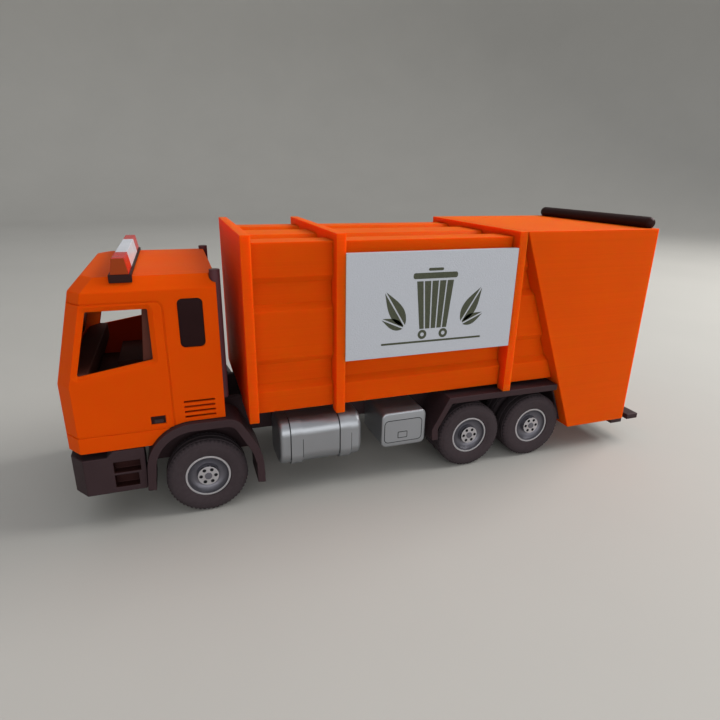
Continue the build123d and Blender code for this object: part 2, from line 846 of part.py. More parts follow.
def top_bar():
    """Round-ended bar lying across the top of the tailgate at its rear."""
    place = Pos(tailgate_back_x + top_bar_inset, 0, rib_top + top_bar_radius - top_bar_flat)
    straight = 2 * (body_half - top_bar_side_gap - top_bar_radius)
    bar = place * Rot(90, 0, 0) * Cylinder(top_bar_radius, straight)
    bar += place * Pos(0, straight / 2, 0) * Sphere(top_bar_radius)
    bar += place * Pos(0, -straight / 2, 0) * Sphere(top_bar_radius)
    x0 = tailgate_back_x - top_bar_radius
    return bar - block(x0, x0 + 4 * top_bar_radius, -body_half, body_half, tailgate_bottom, rib_top)


# ---- Tank and tool box ----
def rail_bracket(middle_x, length):
    """Short bracket from the left rail into what it carries."""
    z0 = rail_bottom + bracket_rise
    return block(
        middle_x - length / 2, middle_x + length / 2, rail_outer, carried_inner + bracket_bite,
        z0, z0 + bracket_height,
    )


def fuel_tank():
    """Left fuel tank with rounded edges and two raised straps."""
    x1 = tank_front_x
    x0 = x1 - tank_length
    outer = body_half - tank_inset
    low, high = tank_bottom, tank_bottom + tank_height + strap_depth
    tank = block(x0, x1, carried_inner, outer - strap_depth, low + strap_depth, high - strap_depth)
    tank = fillet(tank.edges().filter_by(Axis.X), tank_round)
    tank = fillet(tank.faces().sort_by(Axis.X)[0].edges(), tank_end_round)
    tank = fillet(tank.faces().sort_by(Axis.X)[-1].edges(), tank_end_round)
    for start in (x0 + strap_from_end, x1 - strap_from_end - strap_width):
        strap = block(start, start + strap_width, carried_inner, outer, low, high)
        tank += fillet(strap.edges().filter_by(Axis.X), tank_round)
    return tank + rail_bracket(x1 - tank_length / 2, tank_bracket_length)


def tool_box():
    """Left tool box: chamfered edges, carried by the rail."""
    box = block(
        box_front_x - box_length, box_front_x, carried_inner, body_half - box_inset,
        box_bottom, box_bottom + box_height,
    )
    box = chamfer(box.edges().filter_by(Axis.Y), box_chamfer)
    box = chamfer(box.faces().sort_by(Axis.Y)[-1].edges(), box_face_chamfer)
    return box + rail_bracket(box_front_x - box_length / 2, box_bracket_length)


# ---- Light bar ----
def light_bar_base():
    """Dark base across the roof, its ends reaching down over the roof's bevels."""
    x1 = front_x - bar_setback
    half = cab_half - bar_side_gap
    base = block(x1 - bar_base_length, x1, -half, half, cab_top - bar_base_drop, bar_base_top)
    return base - cab_solid(-bar_seat_gap, cab_bottom)


def lens(y0, y1):
    """A stretch of the light bar's lens, wedge-shaped in section."""
    middle = front_x - bar_setback - bar_base_length / 2
    low, high = lens_low_length / 2, lens_high_length / 2
    top = bar_base_top + lens_height
    points = [
        (middle - low, bar_base_top), (middle + low, bar_base_top), (middle + high, top), (middle - high, top),
    ]
    return side_prism(points, y0, y1)


# ---- Wheels ----
def spin(points, x):
    """A ring about the axle at x, from (radius, y) points."""
    outline = make_face(Polyline(*[(x + r, y, wheel_radius) for r, y in points], close=True))
    return revolve(outline, axis=Axis((x, 0, wheel_radius), (0, 1, 0)))


def rim(x, width):
    """Left rim: a lipped ring round a curved bowl, and a capped hub disc drilled with nut holes."""
    face = rim_face
    back = face - width
    bore = axle_radius + axle_clearance
    hub_foot = hub_radius + hub_taper
    reach = rim_radius - rim_lip - hub_foot
    blind = face - hub_hole_depth - hub_wall
    points = [(bore, back), (rim_radius, back), (rim_radius, face)]
    for step in range(bowl_steps + 1):
        turn = pi / 2 * step / bowl_steps
        points.append((hub_foot + reach * cos(turn), face - bowl_depth * sin(turn)))
    points += [
        (hub_radius, face), (cap_radius, face),
        (cap_radius, face + cap_height), (0, face + cap_height), (0, blind), (bore, blind),
    ]
    wheel = spin(points, x)
    for step in range(hub_hole_count):
        turn = Pos(x, 0, wheel_radius) * Rot(0, 360 * step / hub_hole_count, 0)
        hole = turn * Pos(hub_hole_circle, face, 0) * Rot(90, 0, 0)
        wheel -= hole * Cylinder(hub_hole_radius, 2 * hub_hole_depth)
    return wheel


def tyre(x, face):
    """One tyre with its outer bead at Y = face."""
    bead = rim_radius + tyre_fit
    back = face - tyre_width + 2 * tyre_bulge
    wide = bead + sidewall_share * (wheel_radius - bead)
    shoulder = wheel_radius - tyre_shoulder
    points = [
        (bead, back), (bead, face), (wide, face + tyre_bulge), (shoulder, face + tyre_bulge),
        (wheel_radius, face - tread_edge), (wheel_radius, back + tread_edge),
        (shoulder, back - tyre_bulge), (wide, back - tyre_bulge),
    ]
    return spin(points, x)


def axle(x):
    """Axle pin, from hub to hub."""
    half = rim_face - hub_hole_depth - hub_wall
    return Pos(x, 0, wheel_radius) * Rot(90, 0, 0) * Cylinder(axle_radius, 2 * half)


# ---- The model ----
def build_model():
    """Every node by name."""
    single_width = tyre_width - 2 * tyre_bulge
    twin_pitch = tyre_width + twin_gap
    nodes = {
        "cab_shell": cab_shell(),
        "windscreen": windscreen(),
        "quarter_windows": quarter_windows(),
        "grille": grille(),
        "cab_interior": cab_interior(),
        "bumper": bumper(),
        "headlamps": headlamps(),
        "chassis_frame": chassis_frame(),
        "front_axle_carrier": axle_carrier(front_axle_x, False),
        "stack_frame": stack_frame(),
        "rear_step": rear_step(),
        "container": container(),
        "front_plate": front_plate(),
        "middle_rib": rib(mid_rib_x, rib_top + rib_crest),
        "rear_rib": rib(rear_rib_x, rib_top),
        "tailgate": tailgate(),
        "hopper_floor": hopper_floor(),
        "top_bar": top_bar(),
        "light_bar_base": light_bar_base(),
        "light_bar_white": lens(-lens_white_half, lens_white_half),
        "light_bar_red": both(lens(lens_white_half, cab_half - bar_side_gap)),
        "front_axle": axle(front_axle_x),
        "front_rims": both(rim(front_axle_x, single_width)),
        "front_tyres": both(tyre(front_axle_x, rim_face)),
    }
    for place, x in zip(("first", "second"), rear_axle_xs):
        nodes[f"{place}_rear_carrier"] = axle_carrier(x, True)
        nodes[f"{place}_rear_axle"] = axle(x)
        nodes[f"{place}_rear_rims"] = both(rim(x, single_width + twin_pitch))
        nodes[f"{place}_rear_tyres"] = both(tyre(x, rim_face) + tyre(x, rim_face - twin_pitch))
    sided = {
        "front_mudguard": front_mudguard(),
        "rear_mudguard": rear_mudguard(),
        "stack_pipe": stack_pipe(),
        "label_plate": label_plate(),
        "fuel_tank": fuel_tank(),
        "tool_box": tool_box(),
    }
    for name, solid in sided.items():
        nodes[name + "_left"] = solid
        nodes[name + "_right"] = mirrored(solid)
    return nodes


def main():
    """Write one STEP file per node."""
    os.makedirs("parts", exist_ok=True)
    for name, solid in build_model().items():
        solid.label = name
        export_step(solid, f"parts/{name}.step")


main()
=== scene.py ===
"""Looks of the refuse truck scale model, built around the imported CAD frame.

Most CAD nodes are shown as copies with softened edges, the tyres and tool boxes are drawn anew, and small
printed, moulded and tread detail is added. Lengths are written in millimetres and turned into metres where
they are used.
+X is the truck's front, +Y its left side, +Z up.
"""

import json
import math

import bmesh
import bpy
from mathutils import Matrix, Vector


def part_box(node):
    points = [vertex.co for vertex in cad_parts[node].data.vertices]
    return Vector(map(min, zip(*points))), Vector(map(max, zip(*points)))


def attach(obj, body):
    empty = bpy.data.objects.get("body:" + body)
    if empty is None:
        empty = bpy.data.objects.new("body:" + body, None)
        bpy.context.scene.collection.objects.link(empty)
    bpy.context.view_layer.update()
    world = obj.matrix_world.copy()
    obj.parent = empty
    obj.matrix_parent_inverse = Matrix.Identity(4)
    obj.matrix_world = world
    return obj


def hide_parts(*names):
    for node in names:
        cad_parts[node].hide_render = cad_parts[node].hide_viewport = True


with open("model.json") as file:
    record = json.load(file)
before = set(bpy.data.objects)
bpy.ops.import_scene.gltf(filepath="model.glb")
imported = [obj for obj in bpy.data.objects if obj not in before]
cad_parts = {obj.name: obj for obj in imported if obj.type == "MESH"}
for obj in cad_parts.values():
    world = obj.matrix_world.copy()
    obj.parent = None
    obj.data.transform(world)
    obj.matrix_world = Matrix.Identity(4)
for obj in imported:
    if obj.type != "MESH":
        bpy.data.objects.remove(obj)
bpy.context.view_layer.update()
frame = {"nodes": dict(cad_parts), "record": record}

MM = 0.001

# ---- Colours, linear ----
CAB_ORANGE = (0.63, 0.067, 0.0015)
BODY_ORANGE = (0.63, 0.074, 0.0020)
# Painted glow: a brighter, redder orange for the plate's and ribs' shaded front faces.
PAINTED_GLOW_RED = (0.74, 0.036, 0.0016)
RIB_PAINTED_GLOW_RED = (0.70, 0.055, 0.0018)
# Painted shade: a darker, redder orange for the insides of the cab's side walls.
INNER_PAINTED_SHADE_RED = (0.34, 0.019, 0.0025)
DARK = (0.029, 0.018, 0.020)
BROWN = (0.068, 0.025, 0.030)
INSIDE_DARK = (0.075, 0.024, 0.017)
GLASS_DARK = (0.012, 0.004, 0.004)
BLACK = (0.020, 0.007, 0.006)
SILVER = (0.31, 0.32, 0.34)
RIM_SILVER = (0.42, 0.405, 0.42)
# Painted shade: a darker grey for the hollow bowl of each rim.
BOWL_PAINTED_SHADE_GREY = (0.13, 0.125, 0.145)
LINE_DARK = (0.018, 0.018, 0.021)
TYRE = (0.034, 0.028, 0.031)
STEEL = (0.42, 0.42, 0.43)
LABEL = (0.41, 0.425, 0.465)
INK = (0.045, 0.050, 0.028)
LENS_WHITE = (0.62, 0.64, 0.70)
LENS_RED = (0.55, 0.012, 0.012)
LENS_END = (0.27, 0.038, 0.011)
FLOOR = (0.41, 0.40, 0.375)
WHITE = (1.0, 1.0, 1.0)

# Tints of the highlights on the orange and on the dark plastic.
ORANGE_SHEEN = (1.0, 0.45, 0.12)
DARK_SHEEN = (1.0, 0.62, 0.66)

# Shares of the distance that red, green and blue light spread inside the plastic, and that distance.
GLOW_REACH = (1.0, 0.18, 0.06)
THIN_GLOW = 2.0
THICK_GLOW = 2.6
DEEP_GLOW = 9.0

# ---- Materials ----
NOISE_SPAN = (0.3, 0.7)  # the part of the noise's values that a range is mapped from
EVEN = (1, 1, 1)
LAYERED = (14, 14, 2600)  # stretches noise into thin level layers, as a printed piece has


def link(tree, source, target):
    tree.links.new(source, target)


def node(tree, kind, **values):
    """A shader node with some inputs set by name."""
    new = tree.nodes.new(kind)
    for name, value in values.items():
        new.inputs[name.replace("_", " ")].default_value = value
    return new


def stretched_noise(tree, scale, stretch, detail):
    """Noise over the object's own coordinates, stretched along the axes; returns its value socket."""
    place = tree.nodes.new("ShaderNodeTexCoord")
    mapping = node(tree, "ShaderNodeMapping", Scale=stretch)
    noise = node(tree, "ShaderNodeTexNoise", Scale=scale, Detail=detail, Roughness=0.6)
    link(tree, place.outputs["Object"], mapping.inputs["Vector"])
    link(tree, mapping.outputs["Vector"], noise.inputs["Vector"])
    return noise.outputs["Fac"]


def ranged(tree, value, middle, swing):
    """A noise value mapped onto the range that swings about a middle."""
    spread = node(
        tree, "ShaderNodeMapRange",
        From_Min=NOISE_SPAN[0], From_Max=NOISE_SPAN[1], To_Min=middle - swing, To_Max=middle + swing,
    )
    link(tree, value, spread.inputs["Value"])
    return spread.outputs["Result"]


def finish(
    name, colour, rough, mottle, mottle_scale, rough_swing,
    grain=None, grain_depth=0.0, layers=0.0, metal=0.0, transmission=0.0,
    gloss=0.5, sheen_colour=WHITE, glow=0.0, glow_scale=1.0,
):
    """A procedural finish: mottled colour, uneven roughness, and moulded grain or printed layers as
    bump. The last two values say how much light spreads inside the plastic, and how far."""
    material = bpy.data.materials.new(name)
    material.use_nodes = True
    tree = material.node_tree
    shader = tree.nodes["Principled BSDF"]
    shader.inputs["Metallic"].default_value = metal
    shader.inputs["Transmission Weight"].default_value = transmission
    shader.inputs["Specular IOR Level"].default_value = gloss
    shader.inputs["Specular Tint"].default_value = (*sheen_colour, 1)
    shader.inputs["Subsurface Weight"].default_value = glow
    shader.inputs["Subsurface Radius"].default_value = GLOW_REACH
    shader.inputs["Subsurface Scale"].default_value = glow_scale * MM
    clouds = stretched_noise(tree, mottle_scale, EVEN, 3.0)
    shade = ranged(tree, clouds, 1, mottle)
    height = None
    if grain:
        height = stretched_noise(tree, grain, EVEN, 2.0)
    if layers:
        height = stretched_noise(tree, 1.0, LAYERED, 2.0)
        both = tree.nodes.new("ShaderNodeMath")
        both.operation = "MULTIPLY"
        link(tree, shade, both.inputs[0])
        link(tree, ranged(tree, height, 1, layers), both.inputs[1])
        shade = both.outputs["Value"]
    tint = tree.nodes.new("ShaderNodeVectorMath")
    tint.operation = "SCALE"
    tint.inputs[0].default_value = colour
    link(tree, shade, tint.inputs["Scale"])
    link(tree, tint.outputs["Vector"], shader.inputs["Base Color"])
    link(tree, ranged(tree, clouds, rough, rough_swing), shader.inputs["Roughness"])
    if height is not None:
        bump = node(tree, "ShaderNodeBump", Strength=1.0, Distance=grain_depth * MM)
        link(tree, height, bump.inputs["Height"])
        link(tree, bump.outputs["Normal"], shader.inputs["Normal"])
    return material


def printed(name, colour, rough, gloss, glow_scale):
    """The finish of an orange piece that is printed in layers and lets light through."""
    return finish(
        name, colour, rough, 0.04, 25, 0.05, grain_depth=0.03, layers=0.03,
        gloss=gloss, sheen_colour=ORANGE_SHEEN, glow=1.0, glow_scale=glow_scale,
    )


def dark_moulded(name, colour, rough, rough_swing, grain, grain_depth, gloss):
    """The finish of a dark moulded piece with a fine grain."""
    return finish(
        name, colour, rough, 0.10, 60, rough_swing, grain=grain, grain_depth=grain_depth,
        gloss=gloss, sheen_colour=DARK_SHEEN,
    )


FINISHES = {
    "cab_orange": finish(
        "cab_orange_moulded", CAB_ORANGE, 0.50, 0.03, 30, 0.04, grain=900, grain_depth=0.02,
        gloss=0.05, sheen_colour=ORANGE_SHEEN, glow=0.6, glow_scale=THIN_GLOW,
    ),
    "cab_inner_painted_shade": finish(
        "cab_inner_painted_shade_moulded", INNER_PAINTED_SHADE_RED, 0.60, 0.04, 30, 0.05, grain=900, grain_depth=0.03,
        gloss=0.04, sheen_colour=ORANGE_SHEEN, glow=0.3, glow_scale=THIN_GLOW,
    ),
    "body_orange": printed("body_orange_printed", BODY_ORANGE, 0.55, 0.06, THICK_GLOW),
    "rib_orange": printed("rib_orange_printed", BODY_ORANGE, 0.55, 0.10, DEEP_GLOW),
    "plate_painted_glow": printed("plate_painted_glow_printed", PAINTED_GLOW_RED, 0.60, 0.06, DEEP_GLOW),
    "rib_painted_glow": printed("rib_painted_glow_printed", RIB_PAINTED_GLOW_RED, 0.60, 0.06, DEEP_GLOW),
    "brown": dark_moulded("brown_moulded", BROWN, 0.50, 0.08, 2600, 0.05, 0.25),
    "dark": dark_moulded("dark_moulded", DARK, 0.55, 0.08, 2600, 0.05, 0.22),
    "inside": dark_moulded("inside_dark", INSIDE_DARK, 0.62, 0.06, 2600, 0.04, 0.08),
    "black": dark_moulded("black_bar", BLACK, 0.46, 0.08, 2400, 0.04, 0.12),
    "glass": finish("dark_window", GLASS_DARK, 0.30, 0.05, 40, 0.05, gloss=0.12, sheen_colour=DARK_SHEEN),
    "silver": finish(
        "silver_moulded", SILVER, 0.42, 0.04, 40, 0.05, grain=1800, grain_depth=0.02, metal=0.90
    ),
    "rim": finish("rim_silver", RIM_SILVER, 0.34, 0.05, 60, 0.06, grain=1800, grain_depth=0.02, metal=0.5),
    "bowl": finish("rim_bowl", BOWL_PAINTED_SHADE_GREY, 0.40, 0.10, 60, 0.06, grain=1800, grain_depth=0.02, metal=0.6),
    "line": finish("dark_line", LINE_DARK, 0.55, 0.10, 60, 0.06, gloss=0.3),
    "tyre": finish(
        "tyre_soft", TYRE, 0.72, 0.14, 700, 0.06, grain=2200, grain_depth=0.10,
        gloss=0.25, sheen_colour=DARK_SHEEN,
    ),
    "steel": finish("axle_steel", STEEL, 0.34, 0.08, 60, 0.06, metal=0.9),
    "label": finish(
        "label_sheet", LABEL, 0.55, 0.05, 1900, 0.05, grain=2100, grain_depth=0.12, gloss=0.3
    ),
    "ink": finish("label_ink", INK, 0.50, 0.25, 1700, 0.06, grain=2100, grain_depth=0.10, gloss=0.3),
    "white_lens": finish("lens_white", LENS_WHITE, 0.22, 0.03, 40, 0.04),
    "red_lens": finish(
        "lens_red", LENS_RED, 0.22, 0.05, 60, 0.03,
        transmission=0.15, gloss=0.12, sheen_colour=ORANGE_SHEEN,
    ),
    "red_lens_end": finish(
        "lens_red_end", LENS_END, 0.22, 0.10, 60, 0.03,
        transmission=0.1, gloss=0.2, sheen_colour=ORANGE_SHEEN,
    ),
}

# ---- Softened copies of the CAD nodes ----
FORM_ANGLE = math.radians(25)  # an edge at least this sharp is softened
BELT_ANGLE = math.radians(5)  # so is a blunter one between two wide faces
FLAT_ANGLE = math.radians(0.5)  # faces that meet more bluntly than this are joined
SAME_PLACE = 1e-6  # metres between corners that are one
WIDE_FACE = 3.0
ROOM_SHARE = 0.35  # of the room beside an edge that its rounding may take
LEAST_ROUND = 0.03  # an edge with less room than this stays sharp
ROUND_SEGMENTS = 2
FLAT_WEIGHT = 90  # how far flat faces lead the shading at their corners
CONTINUES = 0.75  # cosine above which one edge carries on another


def wide(face, edge):
    """Whether a face is wide across an edge, as a flat panel is and a curve's facet isn't."""
    return face.calc_area() / edge.calc_length() > WIDE_FACE * MM


def gap_to(point, edge):
    """Distance from a point to an edge."""
    start, end = edge.verts[0].co, edge.verts[1].co
    along = end - start
    share = max(0.0, min(1.0, (point - start).dot(along) / along.length_squared))
    return (point - (start + along * share)).length


def arms(corner, edge, other):
    """Two edges that share a corner, as vectors that lead away from it."""
    return edge.other_vert(corner).co - corner.co, other.other_vert(corner).co - corner.co


def room_beside(edge):
    """How wide a rounding may be before it meets its neighbours on the edge's two faces."""
    room = edge.calc_length() + 1.0
    for face in edge.link_faces:
        for other in face.edges:
            if other is edge:
                continue
            shared = set(other.verts) & set(edge.verts)
            if not shared:
                gaps = [gap_to(v.co, edge) for v in other.verts] + [gap_to(v.co, other) for v in edge.verts]
                room = min(room, *gaps)
                continue
            one, two = arms(shared.pop(), edge, other)
            opening = one.angle(two)
            if math.cos(opening) > -CONTINUES:
                room = min(room, min(one.length, two.length) * math.tan(opening / 2))
    return room


def chains(edges):
    """Form edges in groups that carry on smoothly from one to the next. Where three or more of them
    meet, none carries on."""
    form, placed, found = set(edges), set(), []
    for start in edges:
        if start in placed:
            continue
        placed.add(start)
        chain, open_ends = [start], [start]
        while open_ends:
            edge = open_ends.pop()
            for corner in edge.verts:
                meeting = [e for e in corner.link_edges if e in form]
                if len(meeting) != 2:
                    continue
                other = meeting[1] if meeting[0] is edge else meeting[0]
                one, two = arms(corner, edge, other)
                if other not in placed and one.normalized().dot(two.normalized()) < -CONTINUES:
                    placed.add(other)
                    chain.append(other)
                    open_ends.append(other)
        found.append(chain)
    return found


def shown(name, data):
    """A mesh, lamp or camera as an object in the scene."""
    new = bpy.data.objects.new(name, data)
    bpy.context.scene.collection.objects.link(new)
    return new


def softened(name, radius):
    """A copy of a CAD node with its flat faces joined and its form edges rounded."""
    mesh = frame["nodes"][name].data.copy()
    mesh.name = name + "_soft"
    mesh.materials.clear()
    bm = bmesh.new()
    bm.from_mesh(mesh)
    bmesh.ops.remove_doubles(bm, verts=bm.verts, dist=SAME_PLACE)
    bmesh.ops.dissolve_limit(bm, angle_limit=FLAT_ANGLE, verts=bm.verts, edges=bm.edges)
    weights = bm.edges.layers.float.new("bevel_weight_edge")
    form = []
    for edge in bm.edges:
        if len(edge.link_faces) != 2:
            continue
        angle = edge.calc_face_angle(0)
        if angle > FORM_ANGLE or (angle > BELT_ANGLE and all(wide(f, edge) for f in edge.link_faces)):
            form.append(edge)
    for chain in chains(form):
        room = ROOM_SHARE * min(room_beside(edge) for edge in chain)
        for edge in chain:
            if room < LEAST_ROUND * MM:
                edge.smooth = False
            else:
                edge[weights] = min(1.0, room / (radius * MM))
    for face in bm.faces:
        face.smooth = True
    bm.to_mesh(mesh)
    bm.free()
    piece = shown(name + "_soft", mesh)
    bevel = piece.modifiers.new("rounding", "BEVEL")
    bevel.limit_method = "WEIGHT"
    bevel.width = radius * MM
    bevel.segments = ROUND_SEGMENTS
    bevel.use_clamp_overlap = False
    normals = piece.modifiers.new("flat_faces", "WEIGHTED_NORMAL")
    normals.weight = FLAT_WEIGHT
    normals.keep_sharp = True
    return piece


def wear(piece, finish_name, slot, body, *nodes):
    """Give a piece its finish, let it ride on a body, and say which nodes it stands for. The slot is not
    used.
    """
    piece.data.materials.clear()
    piece.data.materials.append(FINISHES[finish_name])
    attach(piece, body)
    if nodes:
        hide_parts(*nodes)


# node: (edge radius, finish)
SOFT_NODES = {
    "cab_shell": (0.30, "cab_orange"),
    "windscreen": (0.15, "glass"),
    "quarter_windows": (0.15, "glass"),
    "grille": (0.20, "dark"),
    "cab_interior": (0.40, "inside"),
    "bumper": (0.35, "dark"),
    "headlamps": (0.20, "white_lens"),
    "chassis_frame": (0.25, "dark"),
    "front_axle_carrier": (0.25, "dark"),
    "first_rear_carrier": (0.25, "dark"),
    "second_rear_carrier": (0.25, "dark"),
    "stack_frame": (0.35, "brown"),
    "stack_pipe_left": (0.25, "brown"),
    "stack_pipe_right": (0.25, "brown"),
    "rear_step": (0.35, "dark"),
    "container": (0.25, "body_orange"),
    "front_plate": (0.30, "rib_orange"),
    "middle_rib": (0.30, "rib_orange"),
    "rear_rib": (0.30, "rib_orange"),
    "tailgate": (0.35, "body_orange"),
    "hopper_floor": (0.20, "body_orange"),
    "top_bar": (0.15, "black"),
    "light_bar_base": (0.20, "black"),
    "light_bar_white": (0.20, "white_lens"),
    "light_bar_red": (0.20, "red_lens"),
    "front_mudguard_left": (0.40, "dark"),
    "front_mudguard_right": (0.40, "dark"),
    "rear_mudguard_left": (0.35, "dark"),
    "rear_mudguard_right": (0.35, "dark"),
    "label_plate_left": (0.12, "label"),
    "label_plate_right": (0.12, "label"),
    "fuel_tank_left": (0.30, "silver"),
    "fuel_tank_right": (0.30, "silver"),
    "front_rims": (0.12, "rim"),
    "first_rear_rims": (0.12, "rim"),
    "second_rear_rims": (0.12, "rim"),
    "front_axle": (0.20, "steel"),
    "first_rear_axle": (0.20, "steel"),
    "second_rear_axle": (0.20, "steel"),
}
slot_of = {part["node"]: part["material_slot"] for part in frame["record"]["subparts"]}
body_of = {n: body for body, nodes in frame["record"]["behaviour"]["bodies"].items() for n in nodes}
for name, (radius, finish_name) in SOFT_NODES.items():
    wear(softened(name, radius), finish_name, slot_of[name], body_of[name], name)

# ---- Faces with a finish of their own ----
# Radii that tell a rim's parts from each other, out from its middle.
CAP_RADIUS = 1.4
HUB_RADIUS = 4.0
RING_RADIUS = 7.6  # the bright ring starts here
CAP_HEIGHT = 0.4
HOLE_MARK = 0.3  # faces this deep in the hub are inside the nut holes

# Insides of the bumper's step pockets: x, innermost y, and z above the bumper's underside.
POCKET_X = (104.5, 113.6)
POCKET_Y = 32.4
POCKET_Z = (2.1, 12.3)
BUMPER_SIDE = 0.1  # depth of the faces that make the bumper's outer side

INNER_WALL = 25.0  # the cab's side walls have their inner faces farther out than this
SQUARE_ON = 0.9  # least share of a normal along an axis, for a face square to it
NEARLY_SQUARE_ON = 0.8


def rim_finish(mesh, face, middle, face_y):
    """Which finish a face of a rim wears: 0 the bright ring's and hub's, 1 the bowl's and cap's, whose darker
    grey is painted shade in the bowl, 2 the nut holes'."""
    corners = [mesh.vertices[i].co for i in face.vertices]
    reaches = [math.hypot(c.x - middle.x, c.z - middle.z) / MM for c in corners]
    if max(reaches) < CAP_RADIUS:
        return 1
    if max(reaches) < HUB_RADIUS:
        return 2 if min(abs(c.y) for c in corners) < face_y - HOLE_MARK * MM else 0
    return int(min(reaches) < RING_RADIUS)


bumper_low, bumper_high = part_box("bumper")


def wears_pocket_painted_shade(mesh, face):
    """Whether a face of the bumper is inside a step pocket, where the black finish is painted shade."""
    if abs(face.normal.y) > SQUARE_ON and abs(face.center.y) > bumper_high.y - BUMPER_SIDE * MM:
        return False
    corners = [mesh.vertices[i].co / MM for i in face.vertices]
    rises = [c.z - bumper_low.z / MM for c in corners]
    return (
        all(POCKET_X[0] < c.x < POCKET_X[1] and abs(c.y) > POCKET_Y for c in corners)
        and POCKET_Z[0] < min(rises) and max(rises) < POCKET_Z[1]
    )


def outward_y(face):
    """How far a face looks out to its own side of the truck: 1 straight out, -1 straight in."""
    return math.copysign(face.normal.y, face.normal.y * face.center.y)


def second_finish(name, finish_name, wears):
    """Give a softened piece a second finish on the faces that wear it."""
    mesh = bpy.data.objects[name + "_soft"].data
    mesh.materials.append(FINISHES[finish_name])
    for face in mesh.polygons:
        face.material_index = int(wears(mesh, face))


# Each rim's bowl wears a darker grey as painted shade in the hollow.
for name in ("front_rims", "first_rear_rims", "second_rear_rims"):
    low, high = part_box(name)
    mesh = bpy.data.objects[name + "_soft"].data
    mesh.materials.append(FINISHES["bowl"])
    mesh.materials.append(FINISHES["line"])
    for face in mesh.polygons:
        face.material_index = rim_finish(mesh, face, (low + high) / 2, high.y - CAP_HEIGHT * MM)

# The step pockets' insides wear black as painted shade.
second_finish("bumper", "black", wears_pocket_painted_shade)
second_finish("light_bar_red", "red_lens_end", lambda mesh, face: outward_y(face) > NEARLY_SQUARE_ON)
# The cab's side walls wear a darker, redder orange inside: painted shade where little light reaches them.
second_finish(
    "cab_shell", "cab_inner_painted_shade",
    lambda mesh, face: outward_y(face) < -NEARLY_SQUARE_ON and abs(face.center.y) > INNER_WALL * MM,
)
# Their front faces, which the lamps do not reach, wear a brighter, redder orange: painted glow that stands in
# for light coming through the plate and ribs.
for name, shade in (("front_plate", "plate_painted_glow"), ("middle_rib", "rib_painted_glow"), ("rear_rib", "rib_painted_glow")):
    second_finish(name, shade, lambda mesh, face: face.normal.x > SQUARE_ON)


# ---- Shared steps for the drawn pieces ----
def box_mm(name):
    """A node's lowest and highest corners in millimetres."""
    low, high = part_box(name)
    return [c / MM for c in low], [c / MM for c in high]


def join_loops(bm, one, two):
    """Faces between two closed loops of as many corners."""
    for i in range(len(one)):
        j = (i + 1) % len(one)
        bm.faces.new((one[i], one[j], two[j], two[i]))


def drawn(bm, name, sharp_angle):
    """Turn a bmesh into a smooth object whose edges stay sharp past an angle in degrees."""
    bmesh.ops.recalc_face_normals(bm, faces=bm.faces)
    for face in bm.faces:
        face.smooth = True
    mesh = bpy.data.meshes.new(name)
    bm.to_mesh(mesh)
    bm.free()
    mesh.set_sharp_from_angle(angle=math.radians(sharp_angle))
    return shown(name, mesh)


# ---- Tyres ----
TYRE_WIDTH = 9.4
TWIN_GAP = 1.0  # between the two tyres of a pair
BEAD = 8.45  # radius at which the tyre meets its rim
# The section's outer side: (radius past the bead, depth inside the widest place), and further up
# (radius short of the tread, depth inside the widest place).
SIDEWALL = ((0.0, 0.90), (0.25, 0.55), (1.2, 0.28), (2.6, 0.03), (3.6, 0.0), (4.4, 0.10))
SHOULDER = ((1.75, 0.22), (1.70, 0.34), (1.1, 0.52), (0.62, 0.78), (0.24, 1.15), (0.05, 1.60))
GROOVES = (0.30, 0.0, -0.30)  # groove centres as shares of the tyre's width
GROOVE_HALF = 0.035  # half a groove's width as a share of the tyre's
GROOVE_SLOPE = 0.12  # how much wider a groove is at the tread
GROOVE_DEPTH = 0.45
TYRE_STEPS = 168  # round the tyre
BLOCKS = 56  # tread blocks round the tyre
GAP_STEPS = 1  # of the gap between two blocks
GAP_DEPTH = 0.95  # as a share of the grooves' depth
GAP_POINTS = 3  # of each shoulder that a gap cuts back
TYRE_SHARP = 32


def tyre_section(radius):
    """A tyre's section as (radius, y) points from the outer bead to the inner one, and the numbers of
    the points that the gaps between blocks cut back."""
    half = TYRE_WIDTH / 2
    outer = [(BEAD + rise, half - inset) for rise, inset in SIDEWALL]
    outer += [(radius - drop, half - inset) for drop, inset in SHOULDER]
    tread = []
    for groove in GROOVES:
        centre, reach = groove * TYRE_WIDTH, GROOVE_HALF * TYRE_WIDTH
        tread += [
            (radius, centre + reach + GROOVE_SLOPE), (radius - GROOVE_DEPTH, centre + reach),
            (radius - GROOVE_DEPTH, centre - reach), (radius, centre - reach - GROOVE_SLOPE),
        ]
    first, last = len(outer), len(outer) + len(tread) - 1
    cut_back = {*range(first - GAP_POINTS, first + 1), *range(last, last + GAP_POINTS + 1)}
    return outer + tread + [(r, -y) for r, y in reversed(outer)], cut_back


def tyre_pieces(name, places, radius):
    """One mesh of tyres at (x, middle y, z) places."""
    section, cut_back = tyre_section(radius)
    bm = bmesh.new()
    for x, y, z in places:
        rings = []
        for step in range(TYRE_STEPS):
            angle = 2 * math.pi * step / TYRE_STEPS
            in_gap = step % (TYRE_STEPS // BLOCKS) < GAP_STEPS
            ring = []
            for index, (r, across) in enumerate(section):
                reach = r - (GROOVE_DEPTH * GAP_DEPTH if in_gap and index in cut_back else 0.0)
                place = (x + reach * math.cos(angle), y + across, z + reach * math.sin(angle))
                ring.append(bm.verts.new([c * MM for c in place]))
            rings.append(ring)
        for ring, after in zip(rings, rings[1:] + rings[:1]):
            join_loops(bm, ring, after)
    return drawn(bm, name, TYRE_SHARP)


